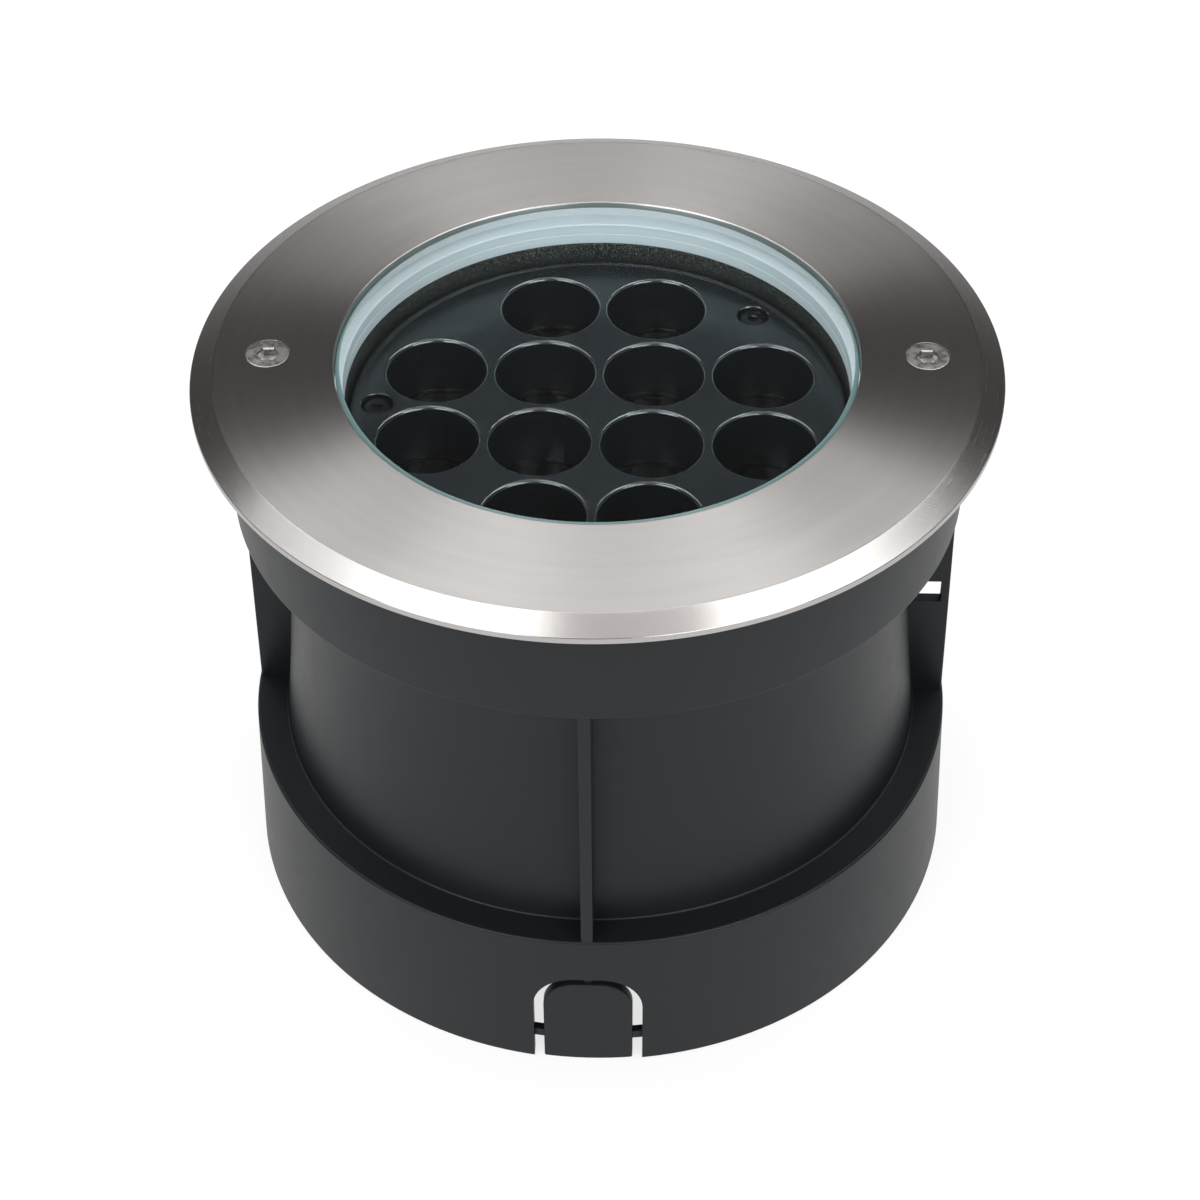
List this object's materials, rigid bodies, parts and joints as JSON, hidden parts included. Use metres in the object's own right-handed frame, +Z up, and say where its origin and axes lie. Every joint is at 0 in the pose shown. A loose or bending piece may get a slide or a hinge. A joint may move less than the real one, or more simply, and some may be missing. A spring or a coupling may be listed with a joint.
{
  "type": "in ground well light",
  "caption": "Round recessed ground luminaire with steel trim, safety glass, tilting LED module with deep anti-glare wells, and a black installation sleeve.",
  "frame": {"origin": "centre of the sleeve's foot, on the plane that it stands on", "axes": "+Z up along the luminaire's axis to the glass, -Y to the front knock-out, +X to the trim screw above the rib with the window"},
  "size_m": [0.18, 0.18, 0.142],
  "materials": {
    "sleeve_plastic": "moulded, satin black",
    "trim_steel": "circular brushed stainless steel",
    "screw_steel": "turned stainless steel",
    "clamp_steel": "plain stainless steel",
    "safety_glass": "clear, faintly green at the edge",
    "silicone": "white, satin",
    "black_rubber": "matte",
    "cast_aluminium": "rough die-cast, dark coated",
    "louvre_finish": "satin dark blue-grey",
    "black_steel": "black oxide",
    "black_plastic": "matte",
    "clear_plastic": "clear acrylic",
    "board_white": "white solder mask",
    "board_green": "green circuit board",
    "led_phosphor": "yellow phosphor under a clear dome",
    "bare_aluminium": "extruded, plain",
    "bracket_steel": "zinc plated sheet",
    "brass": "machined",
    "driver_plastic": "light grey moulding",
    "terminal_plastic": "ivory moulding",
    "gland_plastic": "dark moulding"
  },
  "bodies": {
    "sleeve": {"installation_sleeve": "sleeve_plastic", "thread_inserts": "brass"},
    "luminaire": {"trim_ring": "trim_steel", "trim_screws": "screw_steel", "clamp_ring": "clamp_steel", "clamp_screws": "screw_steel", "glass_lens": "safety_glass", "glass_gasket": "silicone", "housing": "cast_aluminium", "flange_seal": "black_rubber", "tilt_yoke": "bracket_steel", "yoke_screws": "screw_steel", "pivot_washers": "brass", "driver_case": "driver_plastic", "driver_lid": "driver_plastic", "driver_board": "board_green", "driver_screws": "screw_steel", "terminal_block": "terminal_plastic", "gland_body": "gland_plastic", "gland_cap": "gland_plastic", "gland_locknut": "brass", "gland_seal": "black_rubber", "gland_gasket": "black_rubber"},
    "led_module": {"louvre_plate": "louvre_finish", "plate_screws": "black_steel", "lenses": "clear_plastic", "lens_holder": "black_plastic", "led_board": "board_white", "leds": "led_phosphor", "heat_sink": "bare_aluminium", "board_screws": "screw_steel", "pivot_screws": "screw_steel"}
  },
  "joints": [
    {"name": "luminaire_lift", "type": "slide", "parent": "sleeve", "child": "luminaire", "axis": [0, 0, 1], "range_m": [0, 0.11]},
    {"name": "module_tilt", "type": "hinge", "parent": "luminaire", "child": "led_module", "pos_m": [0, 0, 0.113], "axis": [0, 1, 0], "range_deg": [-8, 8]}
  ]
}
